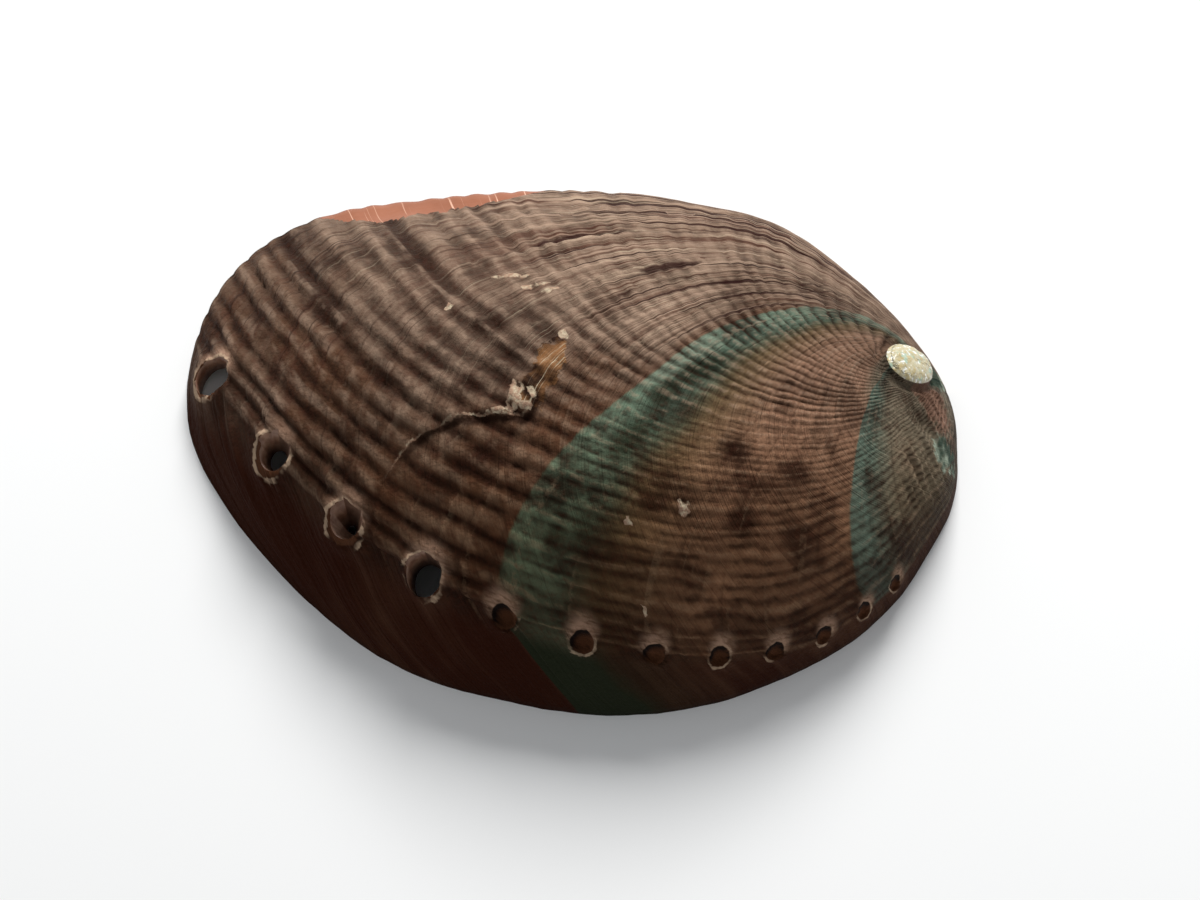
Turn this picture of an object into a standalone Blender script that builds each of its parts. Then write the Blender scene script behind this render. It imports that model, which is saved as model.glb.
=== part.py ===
"""An abalone shell lying on its rim, back up, as one closed solid.

The frame is in metres with +Z up. The origin lies under the middle of the shell, on the surface it rests on.
+X points to the spire, -X to the front of the growing lip, and -Y to the side with the row of holes.

The shell is built the way it grew. The lip is swept back in age round the spire, turning and shrinking, so
every column of the mesh is a spiral rib and every row is a former lip.
"""

import math

import bmesh
import bpy
import numpy as np
from mathutils import Vector

MM = 0.001

# The rim in plan, in millimetres, from the right of the spire round the far side, the lip and the hole side.
RIM_MM = (
    (62.5, 3.1), (60.9, 9.9), (58.8, 14.2), (53.9, 21.7), (44.6, 31.6), (34.1, 39.6),
    (21.7, 43.5), (2.3, 46.1), (-23.5, 44.6), (-45.4, 39.6), (-53.5, 33.7), (-59.9, 24.3),
    (-62.5, 14.4), (-62.4, 3.5), (-58.1, -6.9), (-44.8, -24.3), (-28.8, -37.3), (-10.1, -43.8),
    (7.1, -46.1), (22.7, -44.0), (35.9, -38.9), (46.2, -32.5), (53.9, -24.3), (58.8, -16.0),
    (61.8, -9.6), (62.6, -2.1),
)
HEIGHT = 34.0 * MM
SPIRE = np.array((53.9, 8.2)) * MM
SUMMIT = np.array((8.0, -6.0)) * MM

# The dome's profile: how full it is, and how blunt on average, to the spire, the far side and both ends.
FULLNESS = 2.3
BLUNT_MEAN, BLUNT_SPIRE, BLUNT_FAR, BLUNT_ENDS = 0.80, -0.19, 0.105, -0.09

# Growth about the spire. The lip shrinks with age, faster on the far side than along the row of holes.
ROW_ANGLE = math.radians(175)
ROW_SHRINK, FAR_SHRINK, LATE_SHRINK = 0.50, 0.48, 0.14
FAR_BLEND = math.radians(24)
LIP_START = math.radians(12)
OLDEST = math.radians(185)
WALL_SPAN, WALL_NARROWING, WALL_LEAST = math.radians(21.6), 0.246, math.radians(2)
ROW_SHARE, HELD_FROM, HELD_BLEND = 0.955, math.radians(190), math.radians(20)
KNOB_RADIUS, KNOB_EDGE, KNOB_RISE = 3.3 * MM, 1.3 * MM, 1.3 * MM
KNOB_AGE = 1.2

# The net of ribs and growth lines.
RIBS = 31
WALL_COLUMNS = 6
GROWTH_ROWS = 46
ROW_CROWDING = 1.35
RIB_RISE = 0.5 * MM
LEDGE_RISE = 0.75 * MM
RELIEF_REACH = 60 * MM
RELIEF_FOOT = 0.35 * HEIGHT
LEDGE_AGES = (0.10, 0.21, 0.34, 0.49, 0.69, 0.93, 1.20, 1.49, 1.85)
LEDGE_SPACING = 0.012

# The row of breathing holes, youngest first. The first four are open, and the fifth is half plugged.
HOLES = 12
FIRST_HOLE_AGE, HOLE_STEP, HOLE_CLOSING = 0.075, 0.158, 0.0018
OPEN_HOLES = 4
HOLE_RADIUS, HOLE_SHRINK = 2.9 * MM, 0.1
OLDEST_HOLE_RADIUS, OLDEST_HOLE_SHARE, CLOSED_HOLE_GROWTH = 0.9 * MM, 0.3, 2.2 * MM
RIM_OF_HOLE, RIM_FLARE = 1.36, 1.45
RIM_HEIGHT, RIM_ROOT = 1.5 * MM, 1.2 * MM
HOLE_LEAN = math.radians(38)
BORE_BELOW, BORE_ABOVE, BORE_TAPER = 7 * MM, 1 * MM, 0.85
CRATER_DEPTH, CRATER_TAPER = 0.9 * MM, 0.6
HOLE_SIDES = 14

# The hollow: the wall's thickness, the width of the flat rim, and that of the shelf along the hole side. The
# shelf lies a little turned from the near side, and it fades into the flat rim at both ends.
WALL = 2.5 * MM
LIP_WIDTH = 2.0 * MM
SHELF_WIDTH, SHELF_TURN, SHELF_GAIN, SHELF_OFFSET = 6.5 * MM, 0.15, 1.4, 0.1
HOLLOW_EDGE, HOLLOW_BELOW = 0.6 * MM, 3 * MM
HOLLOW_SEGMENTS, HOLLOW_RINGS = 56, 22
ON_EQUATOR = 1e-4

SHELL_COLOUR = (0.115, 0.062, 0.042, 1.0)
SHELL_ROUGHNESS = 0.55


def clear_scene():
    for item in list(bpy.data.objects):
        bpy.data.objects.remove(item, do_unlink=True)


def smoothstep(value):
    value = np.clip(value, 0.0, 1.0)
    return value * value * (3.0 - 2.0 * value)


def closed_spline(points, per_span=40):
    """A periodic cubic spline through the points, as many short chords."""
    points = np.asarray(points, float)
    count = len(points)
    steps = np.linalg.norm(np.roll(points, -1, axis=0) - points, axis=1)
    before = np.roll(steps, 1)
    system = np.zeros((count, count))
    for i in range(count):
        system[i, i - 1] += before[i]
        system[i, i] += 2.0 * (before[i] + steps[i])
        system[i, (i + 1) % count] += steps[i]
    slopes = (np.roll(points, -1, axis=0) - points) / steps[:, None]
    bends = np.linalg.solve(system, 6.0 * (slopes - np.roll(slopes, 1, axis=0)))
    spans = []
    for i in range(count):
        a, b = points[i], points[(i + 1) % count]
        t = np.linspace(0.0, 1.0, per_span, endpoint=False)[:, None]
        sag = steps[i] ** 2 / 6.0
        spans.append(
            a * (1 - t) + b * t
            + sag * ((1 - t) ** 3 - (1 - t)) * bends[i]
            + sag * (t**3 - t) * bends[(i + 1) % count]
        )
    return np.concatenate(spans)


RIM = closed_spline(np.array(RIM_MM) * MM)


def reach_from(centre):
    """The rim's distance from a point inside it, as a function of the direction."""
    away = RIM - centre
    angles = np.arctan2(away[:, 1], away[:, 0]) % math.tau
    order = np.argsort(angles)
    angles, distances = angles[order], np.linalg.norm(away, axis=1)[order]
    return lambda direction: np.interp(direction % math.tau, angles, distances, period=math.tau)


rim_from_spire = reach_from(SPIRE)
rim_from_summit = reach_from(SUMMIT)


def bluntness(direction):
    return (
        BLUNT_MEAN
        + BLUNT_SPIRE * np.cos(direction)
        + BLUNT_FAR * np.sin(direction)
        + BLUNT_ENDS * np.cos(2 * direction)
    )


def dome_height(point):
    """The height of the smooth back of the shell over a point of the plan."""
    away = point - SUMMIT
    direction = math.atan2(away[1], away[0])
    share = min(np.linalg.norm(away) / float(rim_from_summit(direction)), 1.0)
    return HEIGHT * (1.0 - share**FULLNESS) ** bluntness(direction)


def shrink(angle, age):
    """How far the lip has shrunk at an age, at an angle along it."""
    far = smoothstep((ROW_ANGLE - angle) / FAR_BLEND)
    return math.exp(-((ROW_SHRINK + FAR_SHRINK * far) * age + LATE_SHRINK * age * age))


def held_inside(age):
    """The older lips are drawn in a little, so that the row of holes stays just inside the rim."""
    direction = ROW_ANGLE + age
    row = float(rim_from_spire(ROW_ANGLE)) * shrink(ROW_ANGLE, age)
    share = row / float(rim_from_spire(direction))
    settled = float(smoothstep((direction - HELD_FROM) / HELD_BLEND))
    return 1.0 - settled * max(1.0 - ROW_SHARE / share, 0.0)


def back_point(angle, age):
    """The plan position on the back of the shell at an angle along the lip of an age."""
    direction = angle + age
    radius = float(rim_from_spire(angle)) * shrink(angle, age) * held_inside(age)
    radius += (math.hypot(radius, KNOB_RADIUS) - radius) * float(smoothstep(age / KNOB_AGE))
    radius = min(radius, float(rim_from_spire(direction)))
    return SPIRE + radius * np.array((math.cos(direction), math.sin(direction)))


def wall_point(part, age):
    """The plan position on the steep wall, part of the way from the row of holes to the rim."""
    top = back_point(ROW_ANGLE, age) - SPIRE
    direction = ROW_ANGLE + age
    share = np.linalg.norm(top) / float(rim_from_spire(direction))
    direction += part * max(WALL_SPAN - WALL_NARROWING * age, WALL_LEAST)
    radius = (share + (1.0 - share) * part) * float(rim_from_spire(direction))
    return SPIRE + radius * np.array((math.cos(direction), math.sin(direction)))


def rib_angles():
    """Angles along the lip, evenly spaced by its length, with two for each rib."""
    angles = np.linspace(LIP_START, ROW_ANGLE, 400)
    reach = rim_from_spire(angles)
    line = np.stack([reach * np.cos(angles), reach * np.sin(angles)], axis=1)
    length = np.concatenate([[0.0], np.cumsum(np.linalg.norm(np.diff(line, axis=0), axis=1))])
    even = np.linspace(0.0, length[-1], 2 * RIBS + 1)
    return np.interp(even, length, angles)


def growth_ages():
    """Ages of the rows, closer together near the lip, with a pair across each ledge."""
    ages = OLDEST * np.linspace(0.0, 1.0, GROWTH_ROWS - len(LEDGE_AGES)) ** ROW_CROWDING
    for ledge in LEDGE_AGES:
        nearest = int(np.argmin(np.abs(ages - ledge)))
        ages[nearest] = ledge - LEDGE_SPACING
        ages = np.append(ages, ledge + LEDGE_SPACING)
    ages = np.sort(ages)
    ages[0] = 0.0
    return ages


def ledge_relief(age):
    """Each old lip stands proud of the younger shell that grew out from under it."""
    younger = [0.0] + [edge for edge in LEDGE_AGES if edge <= age]
    older = [edge for edge in LEDGE_AGES if edge > age] + [OLDEST]
    into = (age - younger[-1]) / (older[0] - younger[-1])
    return LEDGE_RISE * (0.5 - into) if len(younger) > 1 else -0.5 * LEDGE_RISE * into


def shell_point(column, row_age, angles):
    """The surface point of a column of the net at an age."""
    last = len(angles) - 1
    if column <= last:
        plan = back_point(angles[column], row_age)
    else:
        part = (column - last) / WALL_COLUMNS
        plan = wall_point(part, row_age)
    height = dome_height(plan)
    on_back = min(height / RELIEF_FOOT, 1.0)
    from_spire = float(np.linalg.norm(plan - SPIRE))
    size = min(from_spire / RELIEF_REACH, 1.0)
    relief = ledge_relief(row_age) * size
    relief += KNOB_RISE * (1.0 - float(smoothstep((from_spire - KNOB_RADIUS) / KNOB_EDGE)))
    if column <= last:
        relief += RIB_RISE * size * (1.0 if column % 2 == 0 else -1.0)
    return Vector((plan[0], plan[1], height + relief * on_back))


def growth_net(collection):
    """The back as a grid whose columns are ribs, closed by the spire and by the flat underside."""
    angles = rib_angles()
    ages = growth_ages()
    columns = len(angles) - 1 + WALL_COLUMNS
    net = bmesh.new()
    bmesh.ops.create_grid(net, x_segments=columns, y_segments=len(ages) - 1, size=1.0)
    corners = {}
    for vertex in net.verts:
        column = round((vertex.co.x + 1.0) / 2.0 * columns)
        row = round((vertex.co.y + 1.0) / 2.0 * (len(ages) - 1))
        vertex.co = shell_point(column, ages[row], angles)
        if row == 0 or column == columns:
            vertex.co.z = 0.0
        corners[column, row] = vertex
    oldest_row = len(ages) - 1
    seam = net.edges.new((corners[0, 0], corners[columns, oldest_row]))
    spire_loop = [seam]
    for edge in net.edges:
        if edge.is_boundary and max(vertex.co.z for vertex in edge.verts) > 0.0:
            spire_loop.append(edge)
    spire = bmesh.ops.edgeloop_fill(net, edges=spire_loop)["faces"]
    bmesh.ops.triangulate(net, faces=spire, ngon_method="BEAUTY")
    bmesh.ops.holes_fill(net, edges=[edge for edge in net.edges if edge.is_boundary])
    bmesh.ops.recalc_face_normals(net, faces=net.faces)
    mesh = bpy.data.meshes.new("shell")
    net.to_mesh(mesh)
    net.free()
    shell = bpy.data.objects.new("shell", mesh)
    collection.objects.link(shell)
    return shell


def hole_places():
    """For each hole, its point on the row, the direction that it opens in, and its radius."""
    places = []
    for number in range(HOLES):
        age = FIRST_HOLE_AGE + HOLE_STEP * number - HOLE_CLOSING * number * number
        plan = back_point(ROW_ANGLE, age)
        outward = plan - SUMMIT
        outward = outward / np.linalg.norm(outward)
        outward = outward * math.sin(HOLE_LEAN)
        axis = Vector((outward[0], outward[1], math.cos(HOLE_LEAN)))
        size = float(np.linalg.norm(plan - SPIRE) / rim_from_spire(ROW_ANGLE))
        if number < OPEN_HOLES:
            radius = HOLE_RADIUS * (1.0 - HOLE_SHRINK * (1.0 - size))
        else:
            radius = OLDEST_HOLE_RADIUS + CLOSED_HOLE_GROWTH * (size - OLDEST_HOLE_SHARE)
        places.append((Vector((plan[0], plan[1], dome_height(plan))), axis, radius))
    return places


def add_cone(target, middle, axis, low_radius, high_radius, below, above):
    """A closed cone or cylinder standing along an axis, from below a point to above it."""
    turn = axis.to_track_quat("Z", "Y").to_matrix().to_4x4()
    turn.translation = middle + axis * (above - below) / 2
    bmesh.ops.create_cone(
        target,
        cap_ends=True,
        segments=HOLE_SIDES,
        radius1=low_radius,
        radius2=high_radius,
        depth=below + above,
        matrix=turn,
    )


def tool_object(name, target, collection):
    mesh = bpy.data.meshes.new(name)
    bmesh.ops.recalc_face_normals(target, faces=target.faces)
    target.to_mesh(mesh)
    target.free()
    tool = bpy.data.objects.new(name, mesh)
    tool.hide_render = True
    tool.display_type = "WIRE"
    collection.objects.link(tool)
    return tool


def hole_rims(collection):
    """The raised rims round the holes."""
    rims = bmesh.new()
    for middle, axis, radius in hole_places():
        outer = radius * RIM_OF_HOLE
        above = RIM_HEIGHT * radius / HOLE_RADIUS
        foot = outer * RIM_FLARE
        add_cone(rims, middle, axis, foot, outer, RIM_ROOT * radius / HOLE_RADIUS, above)
    return tool_object("hole_rims", rims, collection)


def hole_bores(collection):
    """Bores right through at the open holes, and shallow craters at the closed ones."""
    bores = bmesh.new()
    for number, (middle, axis, radius) in enumerate(hole_places()):
        above = RIM_HEIGHT * radius / HOLE_RADIUS
        if number < OPEN_HOLES:
            add_cone(bores, middle, axis, radius * BORE_TAPER, radius, BORE_BELOW, above + BORE_ABOVE)
        else:
            floor = CRATER_DEPTH * radius / HOLE_RADIUS - above
            add_cone(bores, middle, axis, radius * CRATER_TAPER, radius, floor, above + BORE_ABOVE)
    return tool_object("hole_bores", bores, collection)


def hollow(collection):
    """The inside of the shell: a smooth dome, held back from the rim by the lip and by the shelf."""
    inside = bmesh.new()
    bmesh.ops.create_uvsphere(
        inside, u_segments=HOLLOW_SEGMENTS, v_segments=HOLLOW_RINGS, radius=1.0
    )
    for vertex in inside.verts:
        direction = math.atan2(vertex.co.y, vertex.co.x)
        share = min(math.hypot(vertex.co.x, vertex.co.y), 1.0)
        shelf = float(smoothstep(-math.sin(direction + SHELF_TURN) * SHELF_GAIN - SHELF_OFFSET))
        flat = LIP_WIDTH + (SHELF_WIDTH - LIP_WIDTH) * shelf
        reach = float(rim_from_summit(direction)) - flat
        height = HOLLOW_EDGE
        if vertex.co.z > ON_EQUATOR:
            rise = (1.0 - share**FULLNESS) ** bluntness(direction)
            height = HOLLOW_EDGE + (HEIGHT - WALL - HOLLOW_EDGE) * rise
        elif vertex.co.z < -ON_EQUATOR:
            height = -HOLLOW_BELOW
        vertex.co = Vector((
            SUMMIT[0] + share * reach * math.cos(direction),
            SUMMIT[1] + share * reach * math.sin(direction),
            height,
        ))
    return tool_object("hollow", inside, collection)


def shell_material():
    material = bpy.data.materials.new("shell_crust")
    material.use_nodes = True
    surface = material.node_tree.nodes["Principled BSDF"]
    surface.inputs["Base Color"].default_value = SHELL_COLOUR
    surface.inputs["Roughness"].default_value = SHELL_ROUGHNESS
    surface.inputs["Metallic"].default_value = 0.0
    material.diffuse_color = SHELL_COLOUR
    return material


def boolean(target, tool, operation):
    step = target.modifiers.new(tool.name, "BOOLEAN")
    step.operation = operation
    step.solver = "EXACT"
    step.object = tool


clear_scene()
parts = bpy.data.collections.new("abalone_shell")
cutters = bpy.data.collections.new("cutters")
bpy.context.scene.collection.children.link(parts)
bpy.context.scene.collection.children.link(cutters)
shell = growth_net(parts)
shell.data.materials.append(shell_material())
boolean(shell, hole_rims(cutters), "UNION")
boolean(shell, hollow(cutters), "DIFFERENCE")
boolean(shell, hole_bores(cutters), "DIFFERENCE")
shell.data.shade_smooth()
shell.data.set_sharp_from_angle(angle=math.radians(50))
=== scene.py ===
import math

import bpy
import numpy as np
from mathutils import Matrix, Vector, kdtree, noise


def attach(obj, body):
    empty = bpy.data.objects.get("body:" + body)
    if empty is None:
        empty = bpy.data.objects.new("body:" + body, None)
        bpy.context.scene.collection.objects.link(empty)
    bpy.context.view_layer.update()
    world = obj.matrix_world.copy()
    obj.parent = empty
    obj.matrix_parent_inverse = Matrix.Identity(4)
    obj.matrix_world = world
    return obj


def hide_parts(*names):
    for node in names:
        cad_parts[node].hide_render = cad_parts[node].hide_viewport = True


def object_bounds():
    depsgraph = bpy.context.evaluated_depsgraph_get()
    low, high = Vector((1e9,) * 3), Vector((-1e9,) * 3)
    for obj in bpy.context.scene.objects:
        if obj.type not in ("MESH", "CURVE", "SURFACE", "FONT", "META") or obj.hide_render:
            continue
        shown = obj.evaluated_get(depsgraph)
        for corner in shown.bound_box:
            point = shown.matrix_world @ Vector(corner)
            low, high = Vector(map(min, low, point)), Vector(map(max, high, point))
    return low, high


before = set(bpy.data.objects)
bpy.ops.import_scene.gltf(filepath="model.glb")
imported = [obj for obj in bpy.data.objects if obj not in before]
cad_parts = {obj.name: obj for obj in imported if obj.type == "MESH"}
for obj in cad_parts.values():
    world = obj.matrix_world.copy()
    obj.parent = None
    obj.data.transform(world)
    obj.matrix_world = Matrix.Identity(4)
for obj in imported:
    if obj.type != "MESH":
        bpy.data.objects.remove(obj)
cad_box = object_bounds()

# The body of the shell.
# An abalone shell is one plate of lime and mother-of-pearl that grows from a worn spire. The lip adds new
# shell along the far side and the front, so every rib is a spiral and every growth line is a former lip. The
# body starts as a grid whose columns are laid along the ribs and whose rows are laid along the former lips.
MM = 0.001
RIM_MM = (
    (62.5, 3.1), (60.9, 9.9), (58.8, 14.2), (53.9, 21.7), (44.6, 31.6), (34.1, 39.6),
    (21.7, 43.5), (2.3, 46.1), (-23.5, 44.6), (-45.4, 39.6), (-53.5, 33.7), (-59.9, 24.3),
    (-62.5, 14.4), (-62.4, 3.5), (-58.1, -6.9), (-44.8, -24.3), (-28.8, -37.3), (-10.1, -43.8),
    (7.1, -46.1), (22.7, -44.0), (35.9, -38.9), (46.2, -32.5), (53.9, -24.3), (58.8, -16.0),
    (61.8, -9.6), (62.6, -2.1),
)
HEIGHT = 34.0 * MM
SPIRE = np.array((53.9, 8.2)) * MM
SUMMIT = np.array((8.0, -6.0)) * MM
FULLNESS = 2.3
BLUNT_MEAN, BLUNT_SPIRE, BLUNT_FAR, BLUNT_ENDS = 0.80, -0.19, 0.105, -0.09
ROW_ANGLE = math.radians(175)
ROW_SHRINK, FAR_SHRINK, LATE_SHRINK = 0.50, 0.48, 0.14
FAR_BLEND = math.radians(24)
LIP_START, OLDEST = math.radians(12), math.radians(185)
FOOT_ANGLE, FOOT_TURN = math.radians(200), math.radians(43.2)
WALL_SPAN, WALL_NARROWING, WALL_LEAST = math.radians(21.6), 0.246, math.radians(2)
ROW_SHARE, ROW_HELD_FROM, ROW_HELD_OVER = 0.955, math.radians(190), math.radians(20)
KNOB_RADIUS, KNOB_BLEND_AGE = 3.3 * MM, 1.2
LIP_END, LIP_POINTS = math.radians(260), 1200
RIBS, FAR_PITCH, ROW_PITCH = 35, 4.7 * MM, 3.6 * MM
COLUMNS_PER_RIB, WALL_COLUMNS, GROWTH_ROWS, SPIRE_RINGS = 7, 20, 290, 12
ROW_CROWDING, LAST_RING_SHARE = 1.28, 0.3
AGE_STEPS = 32
BACK_COLUMNS = RIBS * COLUMNS_PER_RIB
COLUMNS = BACK_COLUMNS + WALL_COLUMNS


def smoothstep(value):
    value = np.clip(value, 0.0, 1.0)
    return value * value * (3.0 - 2.0 * value)


def closed_spline(points, per_span=40):
    """A periodic cubic spline through the points, as many short chords."""
    count = len(points)
    steps = np.linalg.norm(np.roll(points, -1, axis=0) - points, axis=1)
    before = np.roll(steps, 1)
    system = np.zeros((count, count))
    for i in range(count):
        system[i, i - 1] += before[i]
        system[i, i] += 2.0 * (before[i] + steps[i])
        system[i, (i + 1) % count] += steps[i]
    slopes = (np.roll(points, -1, axis=0) - points) / steps[:, None]
    bends = np.linalg.solve(system, 6.0 * (slopes - np.roll(slopes, 1, axis=0)))
    t = np.linspace(0.0, 1.0, per_span, endpoint=False)[:, None]
    spans = []
    for i in range(count):
        after = (i + 1) % count
        straight = points[i] * (1 - t) + points[after] * t
        bend = ((1 - t) ** 3 - (1 - t)) * bends[i] + (t**3 - t) * bends[after]
        spans.append(straight + bend * steps[i] ** 2 / 6.0)
    return np.concatenate(spans)


RIM = closed_spline(np.array(RIM_MM) * MM)


def reach_from(centre):
    """The rim's distance from a point inside it, as a function of the direction."""
    away = RIM - centre
    angles = np.arctan2(away[:, 1], away[:, 0]) % math.tau
    order = np.argsort(angles)
    angles, distances = angles[order], np.linalg.norm(away, axis=1)[order]
    return lambda direction: np.interp(direction % math.tau, angles, distances, period=math.tau)


rim_from_spire = reach_from(SPIRE)
rim_from_summit = reach_from(SUMMIT)


def about_summit(plan):
    away = plan - SUMMIT
    return np.arctan2(away[:, 1], away[:, 0]), np.linalg.norm(away, axis=1)


def bluntness(direction):
    along = BLUNT_SPIRE * np.cos(direction) + BLUNT_FAR * np.sin(direction)
    return BLUNT_MEAN + along + BLUNT_ENDS * np.cos(2 * direction)


def back_height(plan):
    """The height of the smooth back over points of the plan."""
    direction, distance = about_summit(plan)
    share = np.minimum(distance / rim_from_summit(direction), 1.0)
    return HEIGHT * (1.0 - share**FULLNESS) ** bluntness(direction)


def growth_log(angle, age):
    """How much smaller the lip was at an age, as a logarithm."""
    far = smoothstep((ROW_ANGLE - angle) / FAR_BLEND)
    return (ROW_SHRINK + FAR_SHRINK * far) * age + LATE_SHRINK * age * age


def lip_radius(angle, age):
    """How far from the spire the lip of an age stood, at an angle along it."""
    row_direction = ROW_ANGLE + age
    row = rim_from_spire(ROW_ANGLE) * np.exp(-growth_log(ROW_ANGLE, age))
    share = row / rim_from_spire(row_direction)
    settled = smoothstep((row_direction - ROW_HELD_FROM) / ROW_HELD_OVER)
    held = 1.0 - settled * np.maximum(1.0 - ROW_SHARE / share, 0.0)
    radius = rim_from_spire(angle) * np.exp(-growth_log(angle, age)) * held
    return radius + (np.hypot(radius, KNOB_RADIUS) - radius) * smoothstep(age / KNOB_BLEND_AGE)


def from_spire(direction, radius):
    return SPIRE + np.stack([np.cos(direction), np.sin(direction)], axis=1) * radius[:, None]


def lip_plan(angle, age):
    direction = angle + age
    return from_spire(direction, np.minimum(lip_radius(angle, age), rim_from_spire(direction)))


def wall_plan(part, age):
    """Points on the steep wall, part of the way from the row of holes to the rim."""
    direction = ROW_ANGLE + age
    share = np.minimum(lip_radius(ROW_ANGLE, age) / rim_from_spire(direction), 1.0)
    direction = direction + part * np.maximum(WALL_SPAN - WALL_NARROWING * age, WALL_LEAST)
    return from_spire(direction, (share + (1.0 - share) * part) * rim_from_spire(direction))


lip_angles = np.linspace(LIP_START, LIP_END, LIP_POINTS)
lip_line = from_spire(lip_angles, rim_from_spire(lip_angles))
lip_steps = np.linalg.norm(np.diff(lip_line, axis=0), axis=1)
lip_pitch = np.interp(lip_angles[:-1], (LIP_START, ROW_ANGLE), (FAR_PITCH, ROW_PITCH))
lip_ribs = np.concatenate([[0.0], np.cumsum(lip_steps / lip_pitch)])
lip_ribs *= RIBS / np.interp(ROW_ANGLE, lip_angles, lip_ribs)


def growth_at(plan):
    """The age of the shell at points of the plan, and the angle along the lip where each point grew."""
    away = plan - SPIRE
    radius = np.linalg.norm(away, axis=1)
    direction = np.arctan2(away[:, 1], away[:, 0]) % math.tau
    direction = np.where(direction < LIP_START, direction + math.tau, direction)
    youngest = np.maximum(direction - FOOT_ANGLE, 0.0) / FOOT_TURN * 0.9
    oldest = np.maximum(direction - LIP_START, youngest)
    for _ in range(AGE_STEPS):
        middle = (youngest + oldest) / 2
        outside = lip_radius(direction - middle, middle) > radius
        youngest = np.where(outside, middle, youngest)
        oldest = np.where(outside, oldest, middle)
    age = (youngest + oldest) / 2
    return age, direction - age


def positions(mesh, kind="co"):
    flat = np.empty(len(mesh.vertices) * 3)
    mesh.vertices.foreach_get(kind, flat)
    return flat.reshape(-1, 3)


def place(mesh, points):
    mesh.vertices.foreach_set("co", np.asarray(points, float).ravel())
    mesh.update()


def deselect_all():
    for item in bpy.context.selected_objects:
        item.select_set(False)


def edit(thing):
    """Opens a mesh for editing with nothing of it selected."""
    bpy.context.view_layer.objects.active = thing
    bpy.ops.object.mode_set(mode="EDIT")
    bpy.ops.mesh.select_mode(type="VERT")
    bpy.ops.mesh.select_all(action="DESELECT")


deselect_all()
bpy.ops.mesh.primitive_grid_add(x_subdivisions=COLUMNS, y_subdivisions=GROWTH_ROWS, size=2.0)
shell = bpy.context.object
shell.name = "abalone_shell"
mesh = shell.data
flat = positions(mesh)
column = np.rint((flat[:, 0] + 1.0) / 2.0 * COLUMNS)
row = np.rint((flat[:, 1] + 1.0) / 2.0 * GROWTH_ROWS)
age = OLDEST * (row / GROWTH_ROWS) ** ROW_CROWDING
angle = np.interp(np.minimum(column, BACK_COLUMNS) / COLUMNS_PER_RIB, lip_ribs, lip_angles)
part = np.clip((column - BACK_COLUMNS) / WALL_COLUMNS, 0.0, 1.0)
plan = np.where((part > 0.0)[:, None], wall_plan(part, age), lip_plan(angle, age))
height = back_height(plan)
height[(row == 0) | (column == COLUMNS)] = 0.0
place(mesh, np.column_stack([plan, height]))
net_age, net_angle, net_part, net_row = age, angle, part, row

# The start of the lip is joined to the oldest end of the wall, and rings close the loop round the spire.
edit(shell)
bpy.ops.object.mode_set(mode="OBJECT")
first = int(np.flatnonzero((row == 0) & (column == 0))[0])
last = int(np.flatnonzero((row == GROWTH_ROWS) & (column == COLUMNS))[0])
for corner in (first, last):
    mesh.vertices[corner].select = True
bpy.ops.object.mode_set(mode="EDIT")
bpy.ops.mesh.edge_face_add()
bpy.ops.object.mode_set(mode="OBJECT")
loop = ((column == 0) | (row == GROWTH_ROWS)).tolist()
for vertex, chosen in zip(mesh.vertices, loop):
    vertex.select = chosen
bpy.ops.object.mode_set(mode="EDIT")
for ring in range(SPIRE_RINGS):
    left = 1.0 - ring / SPIRE_RINGS
    narrower = (1.0 - (ring + 1) / SPIRE_RINGS) / left if ring < SPIRE_RINGS - 1 else LAST_RING_SHARE
    bpy.ops.mesh.extrude_edges_move()
    bpy.ops.transform.resize(value=(narrower, narrower, 1.0), center_override=(*SPIRE, 0.0))
bpy.ops.mesh.edge_face_add()
bpy.ops.object.mode_set(mode="OBJECT")

# The inside.
# The animal lines the inside with smooth mother-of-pearl, which ends in a narrow lip and in a broad shelf
# along the holes. It is drawn in from the rim, ring by ring, up to the top of the bowl.
WALL, LIP_WIDTH, SHELF_WIDTH, INSIDE_RISE = 2.5 * MM, 2.3 * MM, 6.0 * MM, 0.6 * MM
THICK_LIP, THICK_LIP_AT, THICK_LIP_SPREAD = 1.6 * MM, math.radians(120), math.radians(32)
SHELF_TURN, SHELF_SLOPE, SHELF_SHIFT = 0.15, 1.4, 0.1
LIP_ROUND_MM = ((0.8, 0.0), (0.45, 0.02), (0.20, 0.16), (0.05, 0.40))
BOWL_RINGS = 23
CRUST, PEARL, BORE, KNOB = 0, 1, 2, 3

outside = len(mesh.vertices)
outside_faces = len(mesh.polygons)
edit(shell)
bpy.ops.mesh.select_non_manifold(extend=False)
for ring in range(BOWL_RINGS):
    left = 1.0 - ring / (BOWL_RINGS + 1)
    narrower = (1.0 - (ring + 1) / (BOWL_RINGS + 1)) / left
    bpy.ops.mesh.extrude_edges_move()
    bpy.ops.transform.resize(value=(narrower, narrower, 1.0), center_override=(*SUMMIT, 0.0))
bpy.ops.mesh.edge_face_add()
bpy.ops.object.mode_set(mode="OBJECT")

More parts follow.
